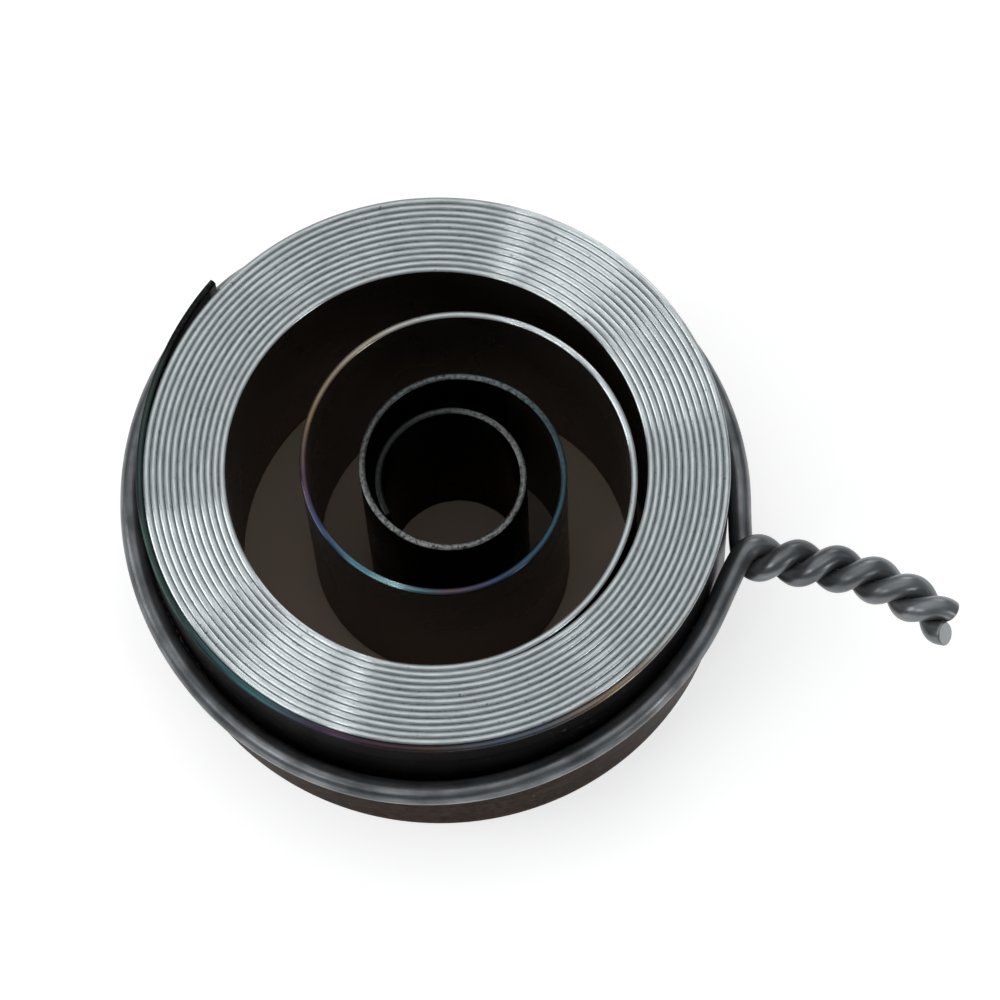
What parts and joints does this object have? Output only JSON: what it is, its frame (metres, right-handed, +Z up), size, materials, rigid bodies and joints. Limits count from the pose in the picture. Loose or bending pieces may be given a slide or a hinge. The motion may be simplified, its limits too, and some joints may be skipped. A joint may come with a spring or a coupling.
{
  "type": "spiral power spring",
  "caption": "Flat steel strip wound into a spiral coil with loose inner turns round an arbor bore, tied shut by a loop of wire with a twisted tail.",
  "frame": {"origin": "on the axis of the bore that the innermost turn makes, at the coil's lower face", "axes": "+Z up along the bore axis, across the width of the strip; +X towards the twisted tail of the tie wire"},
  "size_m": [0.0816, 0.0621, 0.025],
  "materials": {
    "spring_strip": "oiled hardened strip, dark on its flats, bright on its slit edges, with temper colours near both ends",
    "wire_tie": "annealed wire, semi-matt dark grey"
  },
  "bodies": {
    "root": {"spring_strip": "spring_strip", "wire_tie": "wire_tie"}
  },
  "joints": []
}
